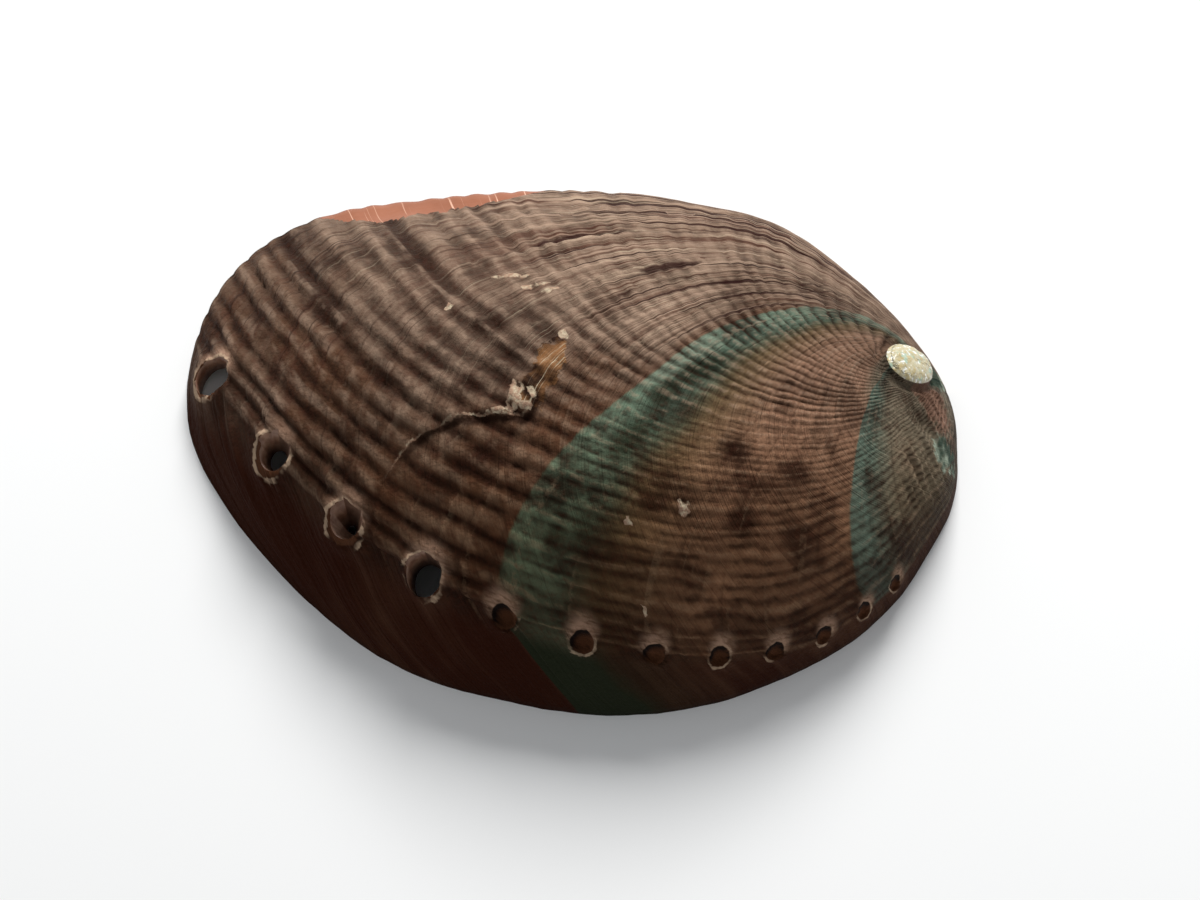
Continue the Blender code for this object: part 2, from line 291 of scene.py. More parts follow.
points = positions(mesh)
count = len(points)
inside = np.arange(count) >= outside
ring = (np.arange(count) - outside) // ((count - outside) // BOWL_RINGS)
direction = about_summit(points[:, :2])[0]
hole_side = smoothstep(-np.sin(direction + SHELF_TURN) * SHELF_SLOPE - SHELF_SHIFT)
thick = THICK_LIP * np.exp(-(((direction - THICK_LIP_AT) / THICK_LIP_SPREAD) ** 2))
reach = rim_from_summit(direction) - LIP_WIDTH - thick - (SHELF_WIDTH - LIP_WIDTH) * hole_side
up_the_bowl = np.clip((ring - len(LIP_ROUND_MM)) / (BOWL_RINGS - len(LIP_ROUND_MM)), 0.0, 1.0)
share = np.cos(math.pi / 2 * up_the_bowl)
radius = share * reach
rise = (1.0 - share**FULLNESS) ** bluntness(direction)
height = INSIDE_RISE + (HEIGHT - WALL - INSIDE_RISE) * rise
for level, (out, up) in enumerate(LIP_ROUND_MM):
    radius = np.where(ring == level, reach + out * MM, radius)
    height = np.where(ring == level, up * MM, height)
outward = np.stack([np.cos(direction), np.sin(direction)], axis=1)
bowl = np.column_stack([SUMMIT + outward * radius[:, None], height])
points[inside] = bowl[inside]
on_spire = (np.arange(count) >= len(flat)) & ~inside
plan = points[:, :2]
age, angle = growth_at(plan)
age[: len(flat)], angle[: len(flat)] = net_age, net_angle
part = np.zeros(count)
part[: len(flat)] = net_part
row = np.full(count, GROWTH_ROWS)
row[: len(flat)] = net_row
points[on_spire, 2] = back_height(plan[on_spire])
place(mesh, points)
edit(shell)
bpy.ops.mesh.select_all(action="SELECT")
bpy.ops.mesh.normals_make_consistent(inside=False)
bpy.ops.object.mode_set(mode="OBJECT")
for _ in (CRUST, PEARL, BORE, KNOB):
    mesh.materials.append(None)
slots = np.where(np.arange(len(mesh.polygons)) < outside_faces, CRUST, PEARL)
mesh.polygons.foreach_set("material_index", slots.astype(np.int32))
normals = positions(mesh, "normal")

# The breathing holes.
# The animal leaves a row of holes on low chimneys as it grows, and plugs the old ones from inside. The first
# four are open, the fifth is half plugged, and the rest are shallow craters that shrink towards the spire.
HOLES, OPEN_HOLES = 12, 4
FIRST_HOLE_AGE, HOLE_STEP, HOLE_CLOSING = 0.075, 0.158, 0.0018
HOLE_RADIUS = 3.35 * MM
OLDEST_HOLE_RADIUS, OLDEST_HOLE_SHARE, CLOSED_HOLE_GROWTH = 1.2 * MM, 0.3, 2.6 * MM
HOLE_LEAN = math.radians(22)
CHIMNEY_HEIGHT, CHIMNEY_SIZE_POWER, CRATER_DEPTH = 1.6 * MM, 0.55, 1.2 * MM
CHIMNEY_FLANK, CHIMNEY_FLANK_LEAN, CHIMNEY_INNER_FLANK = 0.80, 0.55, 0.35
SKIRT_FLANK, YOUNG_SKIRT, OLD_SKIRT, HOLE_INFLUENCE = 0.62, 1.0, 1.7, 5
HIGH_SIDE_YOUNG, HIGH_SIDE_OLD = np.array((0.62, 0.78, 0.0)), np.array((0.05, 1.0, 0.0))
FAR_FROM_HOLES = 9.0


def leaning(away, lean):
    return np.array((away[0] * math.sin(lean), away[1] * math.sin(lean), math.cos(lean)))


holes = []
for number in range(HOLES):
    hole_age = np.array([FIRST_HOLE_AGE + HOLE_STEP * number - HOLE_CLOSING * number * number])
    middle = lip_plan(np.array([ROW_ANGLE]), hole_age)
    away = (middle[0] - SUMMIT) / np.linalg.norm(middle[0] - SUMMIT)
    size = np.linalg.norm(middle[0] - SPIRE) / float(rim_from_spire(ROW_ANGLE))
    radius = HOLE_RADIUS * (0.9 + 0.1 * size)
    if number >= OPEN_HOLES:
        radius = OLDEST_HOLE_RADIUS + CLOSED_HOLE_GROWTH * (size - OLDEST_HOLE_SHARE)
    holes.append((np.append(middle[0], back_height(middle)), away, radius))

chimney = np.zeros(count)
hole_reach = np.full(count, FAR_FROM_HOLES)
lit_side = np.ones(count)
push = np.zeros((count, 3))
for number, (middle, away, radius) in enumerate(holes):
    axis = leaning(away, HOLE_LEAN)
    off = points - middle
    across = off - np.outer(off @ axis, axis)
    gap = np.linalg.norm(across, axis=1)
    side = (across @ (HIGH_SIDE_YOUNG if number < OPEN_HOLES else HIGH_SIDE_OLD)) / np.maximum(gap, 1e-6)
    near = np.linalg.norm(off, axis=1) < HOLE_INFLUENCE * radius
    reach = gap / radius
    round_hole = np.arctan2(across[:, 1], across[:, 0])
    ragged = 1.08 + 0.05 * np.sin(round_hole * 3 + number * 2.0)
    ragged = ragged + 0.03 * np.sin(round_hole * 7 + number * 5.0)
    flank = np.where(reach > ragged, CHIMNEY_FLANK + CHIMNEY_FLANK_LEAN * side, CHIMNEY_INNER_FLANK)
    wide = (reach - ragged) / flank
    rise = CHIMNEY_HEIGHT * (radius / HOLE_RADIUS) ** CHIMNEY_SIZE_POWER * np.exp(-np.abs(wide) ** 1.5)
    if number < OPEN_HOLES:
        rise = np.where(reach < ragged, CHIMNEY_HEIGHT, rise)
        lit_side = np.where(near, 1.0, lit_side)
    else:
        rise -= CRATER_DEPTH * radius / HOLE_RADIUS * (1.0 - smoothstep((reach - 0.45) / 0.5))
        # The lower right of each crater is its lit side, kept for a painted highlight and a painted shadow.
        low_right = (across[:, 0] * 0.6 - across[:, 1] * 0.8) / np.maximum(gap, 1e-6)
        lit_side = np.where(near, smoothstep((low_right + 0.35) / 0.6), lit_side)
    push += np.outer(np.where(near, rise, 0.0), axis)
    hole_reach = np.where(near, np.minimum(hole_reach, reach / ragged), hole_reach)
    skirt = YOUNG_SKIRT if number < OPEN_HOLES else OLD_SKIRT
    fall = (SKIRT_FLANK + CHIMNEY_FLANK_LEAN * side) * skirt
    spread = np.exp(-np.maximum(reach - 1.0, 0.0) / fall) * (0.55 + 0.45 * side)
    chimney = np.where(near, np.maximum(chimney, spread), chimney)

# The relief of the back.
# Spiral ribs with rounded crests and narrow valleys are crossed by growth lines. Where growth stopped, the
# old lip stands as a ledge over the younger shell. Towards the edge of the lip the ribs widen into soft
# waves.
LEDGE_RISE, LINE_RISE, GROOVE_DEPTH, WAVE_DEPTH = 0.45 * MM, 0.30 * MM, 0.55 * MM, 0.8 * MM
RIB_RISE, FAR_RIB_LOSS = 0.235, 0.10
LUMP_RISE, MARGIN_RISE, ROW_RIDGE_RISE, PIT_DEPTH = 0.28 * MM, 1.0 * MM, 0.4 * MM, 0.4 * MM
SCAR_RISE, SCAR_DEPTH, FLAP_RISE, CREAM_RISE = 0.5, 0.35, 0.6 * MM, 0.16 * MM
LEDGE_AGES = (0.10, 0.21, 0.34, 0.49, 0.69, 0.93, 1.20, 1.49, 1.85)
KNOB_HALF, KNOB_TURN = np.array((3.8, 4.0)) * MM, math.radians(-40)
RIM_CLEARANCE, MOST_RIM_DRIFT, SETTLE_WIDTH, BARE_FADE = 0.02 * MM, 0.8, 4.5 * MM, 0.35 * MM
FAR_FROM, FAR_OVER, YOUNG_FROM, YOUNG_OVER = math.radians(150), math.radians(50), 0.10, 0.40
STRATA_RIB, STRATA_RIBS, STRATA_AGE, STRATA_FADE = 24.0, 7.0, 0.60, 0.06
SOFT_RIB, SOFT_RIBS, SOFT_AGE, SOFT_FADE = 31.0, 6.0, 0.40, 0.20
SPLIT_AGE, SPLIT_FADE, SPLIT_RIB, SPLIT_RIBS = 0.62, 0.16, 20.0, 7.0
RIB_DRIFT, SOFT_RIB_DRIFT, RIB_WAVER, RIB_KNOTS = 0.55, 0.25, 0.17, 0.07
LINE_ROWS, LINE_SIZES, GROWTH_SEED = (2, 7), (0.3, 1.7), 11
GROOVE_HALF, GROOVE_WIDENING, GROOVE_TAPER, GROOVE_WOBBLE = 0.007, 0.004, 4.0, 0.010
LUMP_SCALE, SCAR_SCALE, PIT_SCALE = 95.0, 240.0, 330.0
FLAP_SCALE, TORN_SCALE, KNOB_SCALE = 500.0, 850.0, 900.0
# Each mark is an oval: its middle, half length and half width in millimetres, and its turn in degrees.
CREAM_MARKS = (
    (-8.7, -4.4, 1.7, 2.9, 10), (-6.2, -3.9, 0.9, 1.4, 20), (-8.0, -6.0, 2.6, 0.8, 5),
    (-1.3, 6.8, 1.2, 1.1, 0), (-9.5, 19.3, 3.4, 0.55, 4), (-6.0, 17.2, 2.4, 0.6, 14),
    (-3.0, 16.2, 2.6, 0.55, 12), (-19.9, 13.4, 1.4, 0.6, 34), (17.9, -22.2, 1.3, 1.2, 30),
    (9.0, -24.2, 0.8, 1.2, 0), (11.4, -35.5, 0.5, 0.9, 0), (-12.6, -6.4, 3.0, 0.5, 0),
)
DARK_MARKS = (
    (26.0, -13.4, 5.0, 3.6, 20), (12.6, -22.0, 3.5, 2.6, 10), (35.0, -15.0, 4.0, 2.6, 0),
    (-10.3, 4.2, 4.5, 3.4, 20), (-16.4, -1.4, 3.2, 2.8, 0), (-16.0, -14.0, 8.0, 2.6, 25),
    (9.5, -11.5, 6.5, 2.4, 42), (20.6, 0.3, 5.0, 2.0, 35), (2.0, -25.0, 3.0, 4.5, 0),
    (-21.0, 17.0, 3.0, 2.4, 0), (36.7, -25.0, 4.5, 4.0, 0), (-30.0, 3.0, 3.0, 5.0, 20),
    (27.2, -23.3, 2.6, 2.4, 0), (29.0, -18.0, 7.0, 2.8, 5), (14.8, -4.0, 3.4, 1.9, 42),
    (-2.4, -25.5, 2.6, 2.0, 0), (-12.7, 9.1, 5.0, 3.2, 20),
)
TEAL_MARKS = ((58.9, 9.4, 2.0, 3.4, 25), (60.0, -4.8, 2.4, 3.4, 0))
RED_MARKS = ((58.0, 2.6, 3.2, 6.2, 22),)
FLAP = ((-4.0, 0.2, 3.0, 6.6, -22), (-7.0, -4.2, 3.4, 2.0, 10))
KNOB_RISE, KNOB_GRAIN, KNOB_MOAT, BARE_STEP = 2.0 * MM, 0.16 * MM, 0.55 * MM, 1.1 * MM
BARE_X_MM, BARE_WIDTH_MM = (-42, -37, -31, -21, -12, -4), (0.0, 4.2, 6.2, 6.0, 3.4, 0.0)
# Each cut has its age, its first and last rib, and its strength. Each wave has its rib, its half width, the
# age that it fades by, and its strength.
GROOVES = (
    (0.195, 10.0, 23.5, 1.15), (0.180, 3.0, 15.0, 0.95), (0.360, 5.0, 19.0, 1.0), (0.245, 1.0, 20.0, 0.62),
    (0.300, 6.0, 27.0, 0.55), (0.420, 2.0, 23.0, 0.62), (0.470, 0.0, 16.0, 0.75), (0.535, 0.0, 18.0, 0.7),
    (0.600, 0.0, 15.0, 0.6), (0.120, 3.0, 25.0, 0.5), (0.065, 3.0, 27.0, 0.45), (0.79, 0.0, 20.0, 0.5),
)
WAVES = (
    (28.4, 0.60, 0.30, 1.0), (24.8, 0.55, 0.32, 0.9), (31.4, 0.5, 0.25, 0.5), (21.3, 0.5, 0.25, 0.5),
    (17.9, 0.5, 0.2, 0.4),
)
SCAR_MM = ((-30.4, -14.1), (-24.3, -8.4), (-17.6, -6.4), (-11.0, -6.8), (-7.9, -7.4), (-4.7, -4.2))


def rough(places, scale, octaves=4):
    """Fractal noise at points, about -1 to 1."""
    return np.array([noise.fractal(Vector(spot) * scale, 0.8, 2.0, octaves) for spot in places])


def field(x, y, z=0.0):
    """Points on a flat sheet, for noise that follows the ribs and the growth."""
    return np.column_stack([x, y, np.full(len(x), z)])


def spots(marks):
    """How near points are to oval marks: 1 in the middle of one, 0 at its edge and -1 well outside."""
    nearest_mark = np.full(count, -1.0)
    for x, y, half_length, half_width, turn in marks:
        off = plan / MM - (x, y)
        cos, sin = math.cos(math.radians(turn)), math.sin(math.radians(turn))
        along, across = off[:, 0] * cos + off[:, 1] * sin, off[:, 1] * cos - off[:, 0] * sin
        nearest_mark = np.maximum(nearest_mark, 1.0 - np.hypot(along / half_length, across / half_width))
    return nearest_mark


def off_line(corners):
    """The distance of points from a broken line whose ends run on, positive on its left."""
    best = np.full(count, 1e3)
    signed = np.full(count, 1e3)
    for number, (start, end) in enumerate(zip(corners[:-1], corners[1:])):
        run = end - start
        before, beyond = (-99.0 if number == 0 else 0.0), (99.0 if number == len(corners) - 2 else 1.0)
        along = np.clip(((plan - start) @ run) / (run @ run), before, beyond)
        off = plan - start - along[:, None] * run
        distance = np.linalg.norm(off, axis=1)
        turn = np.sign(run[0] * off[:, 1] - run[1] * off[:, 0])
        signed = np.where(distance < best, distance * turn, signed)
        best = np.minimum(best, distance)
    return signed


# Where each point lies: how old it is, on which rib, how far from the rim and the spire, and in which zone.
growth = growth_log(angle, age)
size = np.exp(-growth)
ribs = np.interp(angle, lip_angles, lip_ribs)
direction, distance = about_summit(plan)
edge_room = rim_from_summit(direction) - distance
spire_off = np.linalg.norm(plan - SPIRE, axis=1)
far = smoothstep((FAR_FROM - angle) / FAR_OVER)
pitch = (ROW_PITCH + (FAR_PITCH - ROW_PITCH) * far) * size
young = 1.0 - smoothstep((age - YOUNG_FROM) / YOUNG_OVER)
strata = smoothstep((STRATA_RIB - ribs) / STRATA_RIBS) * (1.0 - smoothstep((age - STRATA_AGE) / STRATA_FADE))
soft = smoothstep((SOFT_RIB - ribs) / SOFT_RIBS) * (1.0 - smoothstep((age - SOFT_AGE) / SOFT_FADE))
soft = np.maximum(far * young, soft)

# The ribs wander a little and vary in strength. They are sharp near the holes, soft near the lip, and split
# in two on the older shell.
drift = rough(field(ribs, age * 4.0), 0.16, 3)
waver = rough(field(ribs * 1.3, age * 16.0, 4.0), 0.5, 3)
knots = rough(field(ribs * 0.9, age * 26.0, 12.0), 0.5, 3)
phase = ribs + (RIB_DRIFT + SOFT_RIB_DRIFT * soft) * drift + RIB_WAVER * waver
phase = phase + RIB_KNOTS * knots * (1.0 - far)
sharp_crest = np.abs(np.cos(math.pi * phase)) ** 0.7
soft_crest = (0.5 + 0.5 * np.cos(math.tau * phase)) ** 0.8
crest = sharp_crest + (soft_crest - sharp_crest) * soft
split = smoothstep((age - SPLIT_AGE) / SPLIT_FADE) * smoothstep((ribs - SPLIT_RIB) / SPLIT_RIBS)
split_crest = np.abs(np.cos(math.tau * phase)) ** 0.8 * (0.80 + 0.20 * sharp_crest)
crest += (split_crest - crest) * split
own = rough(field(np.round(phase) * 3.7, age * 3.0), 0.5, 3)

# The rows of the net are gathered at random into growth lines, each with a step down to the younger side.
dice = np.random.default_rng(GROWTH_SEED)
line_ends = np.cumsum(dice.integers(*LINE_ROWS, GROWTH_ROWS))
line = np.searchsorted(line_ends, row, side="right")
line_start = np.concatenate([[0], line_ends])[line]
into_line = (row - line_start) / (line_ends[line] - line_start)
line_size = dice.uniform(*LINE_SIZES, len(line_ends))[line]
line_fade = 1.0 + 0.9 * rough(field(ribs * 0.5 - 0.35 * np.minimum(ribs, 22.0), row * 0.35, 6.0), 0.5, 3)
lines = (0.5 - into_line) * line_size * np.clip(line_fade, 0.0, 2.0)

# Soft waves run in from the lip, and thin cuts lie where growth stopped.
wave = np.zeros(count)
for at_rib, half, until, strength in WAVES:
    fade = 1.0 - smoothstep((age - until * 0.55) / (until * 0.6))
    off_rib = ribs + 0.5 * drift - at_rib - 3.0 * age * (at_rib > 26)
    wave += strength * fade * np.exp(-((off_rib / half) ** 2))
groove = np.zeros(count)
groove_wobble = GROOVE_WOBBLE * rough(field(ribs * 0.9, age * 6.0, 9.0), 0.5, 3)
for at_age, first_rib, last_rib, strength in GROOVES:
    bent = at_age * (1.0 - 0.42 * smoothstep((9.5 - ribs) / 6.0))
    inside_ends = smoothstep((ribs - first_rib) / GROOVE_TAPER) * smoothstep((last_rib - ribs) / GROOVE_TAPER)
    broken = np.clip(0.95 + 0.8 * rough(field(ribs, np.full(count, at_age * 50.0), 3.0), 0.3, 2), 0.3, 1.3)
    line_here = np.exp(-(((age + groove_wobble - bent) / (GROOVE_HALF + GROOVE_WIDENING * strength)) ** 2))
    groove = np.maximum(groove, strength * broken * inside_ends * line_here)

# The coarse margin beyond the spire has slanting lumps in place of ribs.
margin = smoothstep((plan[:, 0] / MM - 51.5) / 3.5) * smoothstep((8.0 - plan[:, 1] / MM) / 4.0)
margin *= smoothstep((plan[:, 1] / MM + 18.0) / 8.0)
rib_strength = (RIB_RISE - FAR_RIB_LOSS * far) * (1.0 - 0.7 * margin) * (1.0 - 0.22 * young)
rib_strength *= (1.0 - 0.60 * strata) * (1.0 - 0.45 * split) * (1.0 - part * 0.85)
rib_strength *= np.clip(1.0 + 0.9 * own, 0.15, 2.0)
rib_strength *= np.clip(1.0 + 0.55 * knots, 0.3, 1.8)
beading = np.clip(1.0 + 1.5 * lines * (1.0 - soft), 0.2, 2.0)
rib_relief = pitch * rib_strength * (crest - 0.6) * beading - WAVE_DEPTH * wave

# Each former lip is a ledge that drops to the younger shell.
edges = np.concatenate([[0.0], LEDGE_AGES, [OLDEST]])
moved = np.clip(age + 0.012 * rough(field(ribs, age * 3.0, 8.0), 0.35, 3), 0.0, OLDEST - 1e-6)
older = np.searchsorted(edges, moved, side="right")
into = (moved - edges[older - 1]) / (edges[older] - edges[older - 1])
ledge = np.where(older > 1, 0.5 - into, -0.5 * into)
scale_here = np.minimum(spire_off / (55 * MM), 1.0)
layers = LEDGE_RISE * ledge + LINE_RISE * lines * (0.7 + 1.0 * np.maximum(far, strata))
lumps = LUMP_RISE * rough(points, LUMP_SCALE, 3)
slant_along = (plan[:, 0] * 0.6 - plan[:, 1] * 0.8) / MM * 0.10
slant_across = (plan[:, 0] * 0.8 + plan[:, 1] * 0.6) / MM * 0.75
lumps += MARGIN_RISE * margin * rough(field(slant_along, slant_across, 2.0), 1.0, 2)
ridge = ROW_RIDGE_RISE * size * np.exp(-(((angle - ROW_ANGLE) / math.radians(2.4)) ** 2))

# The knob is a low oval dome with a moat round it.
cos, sin = math.cos(KNOB_TURN), math.sin(KNOB_TURN)
knob_plan = (plan - SPIRE) @ np.array(((cos, -sin), (sin, cos)))
knob_off = np.linalg.norm(knob_plan / KNOB_HALF, axis=1)
knob = 1.0 - smoothstep((knob_off - 0.86) / 0.22)
knob_dome = np.sqrt(np.maximum(1.0 - (knob_off / 1.02) ** 2, 0.0))
knob_relief = KNOB_RISE * knob_dome**0.8 + KNOB_GRAIN * knob * rough(points, KNOB_SCALE, 3)
knob_moat = KNOB_MOAT * np.exp(-(((knob_off - 1.22) / 0.16) ** 2))
off_knob = smoothstep((knob_off - 1.0) / 0.5)

# The scar is a torn edge of crust over a shallow ditch, and scraps of crust stand up round it.
scar_gap = off_line(np.array(SCAR_MM) * MM) / MM + 0.75 * rough(points, SCAR_SCALE, 4)
scar_span = smoothstep((plan[:, 0] / MM + 31.0) / 8.0) * smoothstep((-3.5 - plan[:, 0] / MM) / 2.0)
above = SCAR_RISE * np.exp(-np.maximum(scar_gap, 0.0) / 2.4)
below = -SCAR_DEPTH * np.exp(-(((scar_gap + 0.8) / 0.7) ** 2))
scar = np.where(scar_gap > 0, above, below) * scar_span * MM
flap = spots(FLAP) + 0.35 * rough(points, FLAP_SCALE, 3)
flap_relief = FLAP_RISE * smoothstep(flap / 0.25)
torn = rough(points, TORN_SCALE, 3)
cream = spots(CREAM_MARKS) + 0.7 * torn
cream_relief = CREAM_RISE * smoothstep(cream / 0.25)
pits = np.array([noise.voronoi(Vector(spot) * PIT_SCALE)[0][0] for spot in points])
pitted = smoothstep((0.17 - pits) / 0.08) * far * (1.0 - young) * smoothstep((0.8 - age) / 0.1)

# The relief dies down at the rim, and the crust ends short of it where the lip is bare.
settle = 0.12 + 0.88 * smoothstep(edge_room / SETTLE_WIDTH)
bare_depth = np.interp(plan[:, 0] / MM, BARE_X_MM, BARE_WIDTH_MM)
bare_depth = np.where(plan[:, 1] > 0, bare_depth * MM * (0.80 + 0.30 * crest + 0.15 * waver), 0.0)
bare = smoothstep((bare_depth - edge_room) / BARE_FADE + 0.5) * (bare_depth > 0)
crusted = rib_relief + (layers - GROOVE_DEPTH * groove) * scale_here
crusted = crusted + lumps + ridge + scar - PIT_DEPTH * pitted
crusted = (crusted + flap_relief + cream_relief) * off_knob * settle
relief = crusted * (1.0 - 0.85 * bare) - BARE_STEP * bare * smoothstep(edge_room / (4.0 * MM))
relief += knob_relief - knob_moat * smoothstep(edge_room / (3.0 * MM))
lift = normals * relief[:, None]
lift[:, :2] *= smoothstep(edge_room / (2.0 * MM))[:, None]
sculpted = np.where(inside[:, None], points, points + lift + push)
rim_drift = 0.10 + 0.16 * rough(field(np.cos(direction) * 6.0, np.sin(direction) * 6.0, 1.0), 1.0, 3)
rim_drift = rim_drift + 0.28 * (1.0 - crest) * (ribs > 15.0) * (age < 0.1)
drawn_in = np.clip(rim_drift, 0.0, MOST_RIM_DRIFT) * MM * (1.0 - smoothstep(edge_room / (3.0 * MM)))
sculpted += np.column_stack([-np.cos(direction), -np.sin(direction), np.zeros(count)]) * drawn_in[:, None]
sculpted = np.clip(sculpted, np.array(cad_box[0]) + RIM_CLEARANCE, np.array(cad_box[1]) - RIM_CLEARANCE)
sculpted[:, 2] = np.maximum(sculpted[:, 2], 0.0)
sculpted[points[:, 2] <= 0.0, 2] = 0.0
place(mesh, sculpted)

# The open holes.
# The four youngest holes go right through the chimney and the wall, and narrow on their way in. Each is cut
# with a cone that leans a little outward. The cut shell then keeps, on its points, what its materials need
# to know.
BORE_SIDES, BORE_LEAN, BORE_START = 64, math.radians(10), 0.8 * MM
BORE_TOP, BORE_TOP_SHARES = 3.5 * MM, (1.0, 1.08, 1.08, 1.0)
BORE_DEPTHS, BORE_FOOT_SHARES = (12 * MM, 8 * MM, 8 * MM, 12 * MM), (0.85, 0.30, 0.25, 0.8)
KNOB_EDGE = 0.45
FRONT_RIBS = (0.0, 3.7, 6.4, 10.0, 20.0, 26.0, 35.0)
FRONT_AGES = (0.40, 0.48, 0.593, 0.655, 0.653, 0.671, 0.674)
SECOND_FRONT_RIBS, SECOND_FRONT_AGES = (0.0, 7.9, 15.5, 22.0, 35.0), (1.95, 1.75, 1.56, 1.49, 1.485)

for (middle, away, radius), top, foot, depth in zip(holes, BORE_TOP_SHARES, BORE_FOOT_SHARES, BORE_DEPTHS):
    axis = leaning(away, BORE_LEAN)
    start = middle + leaning(away, HOLE_LEAN) * BORE_START
    deselect_all()
    bpy.ops.mesh.primitive_cone_add(
        vertices=BORE_SIDES,
        radius1=radius * foot,
        radius2=radius * top,
        depth=depth,
        location=Vector(start + axis * (BORE_TOP - depth / 2)),
        rotation=Vector(axis).to_track_quat("Z", "Y").to_euler(),
    )
    bore = bpy.context.object
    for _ in (CRUST, PEARL, BORE, KNOB):
        bore.data.materials.append(None)
    bore.data.polygons.foreach_set("material_index", [BORE] * len(bore.data.polygons))
    cut = shell.modifiers.new("bore", "BOOLEAN")
    cut.operation = "DIFFERENCE"
    cut.solver = "EXACT"
    cut.object = bore
    deselect_all()
    bpy.context.view_layer.objects.active = shell
    bpy.ops.object.modifier_apply(modifier=cut.name)
    bpy.data.objects.remove(bore, do_unlink=True)
mesh = shell.data
tree = kdtree.KDTree(count)
for number, spot in enumerate(sculpted):
    tree.insert(spot, number)
tree.balance()
nearest = np.array([tree.find(vertex.co)[1] for vertex in mesh.vertices])
for face in mesh.polygons:
    if face.material_index == CRUST and min(knob[nearest[corner]] for corner in face.vertices) > KNOB_EDGE:
        face.material_index = KNOB


def keep(name, values):
    """Keeps one number for each point of the shell, for its materials to read."""
    layer = mesh.attributes.new(name, "FLOAT", "POINT")
    layer.data.foreach_set("value", values[nearest].astype(np.float32))


keep("age", age)
keep("ribs", ribs)
keep("growth", growth)
keep("crest", crest)
keep("lines", lines)
keep("bare", bare)
keep("young", young)
keep("far", np.maximum(far, strata))
keep("strata", strata)
keep("soft", soft)
# Where the last ribs meet the row of holes, for painted shade.
keep("row_shade", smoothstep((ribs - 32.4) / 1.6))
keep("wall", np.maximum(part, smoothstep((angle - ROW_ANGLE) / math.radians(3))))
keep("chimney", chimney)
keep("hole_reach", hole_reach)
keep("lit_side", lit_side)
keep("front", age - np.interp(ribs, FRONT_RIBS, FRONT_AGES))
keep("second_front", age - np.interp(ribs, SECOND_FRONT_RIBS, SECOND_FRONT_AGES))
keep("scar_gap", scar_gap)
keep("scar_span", scar_span)
keep("flap", flap)
keep("cream", cream)
keep("dark", spots(DARK_MARKS))
keep("teal", spots(TEAL_MARKS) + 0.4 * torn)
keep("red", spots(RED_MARKS) + 0.3 * torn)
keep("groove", groove)
keep("wave", wave)
keep("pitted", pitted)
# How low a point lies, for painted shade that darkens the low side.
keep("low", smoothstep((4.0 - plan[:, 1] / MM) / 34.0))
mesh.shade_smooth()

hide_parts("shell")
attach(shell, "root")


# The crust.
# The outer layer is dull brown shell, weathered, with painted shade in its valleys and on its low side, and
# painted highlights on its crests. It turned green twice while it grew, and a strip of the lip was never
# covered, so salmon-pink shell shows there. The spire is worn down to the pearl.
class Shade:
    """A value or colour inside a material, so that shader maths reads as an expression."""

    def __init__(self, tree, socket):
        self.tree = tree
        self.socket = socket

    def math(self, operation, first, second):
        found = self.tree.nodes.new("ShaderNodeMath")
        found.operation = operation
        join(self.tree, found.inputs[0], first)
        join(self.tree, found.inputs[1], second)
        return Shade(self.tree, found.outputs[0])

    def __add__(self, other):
        return self.math("ADD", self, other)

    def __radd__(self, other):
        return self.math("ADD", other, self)

    def __sub__(self, other):
        return self.math("SUBTRACT", self, other)

    def __rsub__(self, other):
        return self.math("SUBTRACT", other, self)

    def __mul__(self, other):
        return self.math("MULTIPLY", self, other)

    def __rmul__(self, other):
        return self.math("MULTIPLY", other, self)

    def __truediv__(self, other):
        return self.math("DIVIDE", self, other)

    def clamp(self):
        found = self.math("ADD", self, 0.0)
        found.socket.node.use_clamp = True
        return found

    def step(self, low, high):
        """0 below low and 1 above high, smooth between, and the other way round where high is less."""
        way = ((self - low) / (high - low)).clamp()
        return way * way * (3.0 - 2.0 * way)


def join(tree, slot, value):
    if isinstance(value, Shade):
        tree.links.new(value.socket, slot)
    else:
        slot.default_value = value


class Finish:
    """A material in the making, with its Principled surface."""

    def __init__(self, name):
        self.material = bpy.data.materials.new(name)
        self.material.use_nodes = True
        self.tree = self.material.node_tree
        self.surface = self.tree.nodes["Principled BSDF"]

    def node(self, kind, settings, output, inputs):
        found = self.tree.nodes.new(kind)
        for key, value in settings.items():
            setattr(found, key, value)
        for key, value in inputs.items():
            join(self.tree, found.inputs[key], value)
        return Shade(self.tree, found.outputs[output])

    def kept(self, name):
        """A number kept on the points of the mesh."""
        return self.node("ShaderNodeAttribute", {"attribute_name": name}, "Fac", {})

    def place(self):
        return self.node("ShaderNodeTexCoord", {}, "Object", {})

    def vector(self, x, y, z=0.0):
        return self.node("ShaderNodeCombineXYZ", {}, 0, {"X": x, "Y": y, "Z": z})

    def noise(self, where, scale=1.0, detail=3.0, roughness=0.55):
        inputs = {"Vector": where, "Scale": scale, "Detail": detail, "Roughness": roughness}
        return self.node("ShaderNodeTexNoise", {}, "Fac", inputs)

    def mix(self, share, first, second, blend="MIX"):
        settings = {"data_type": "RGBA", "blend_type": blend}
        return self.node("ShaderNodeMix", settings, 2, {0: share, 6: first, 7: second})

    def bump(self, height, distance):
        return self.node("ShaderNodeBump", {}, 0, {"Height": height, "Distance": distance, "Strength": 1.0})

    def feed(self, sockets):
        for key, value in sockets.items():
            join(self.tree, self.surface.inputs[key], value)


def rgb(red, green, blue):
    return (red, green, blue, 1.0)


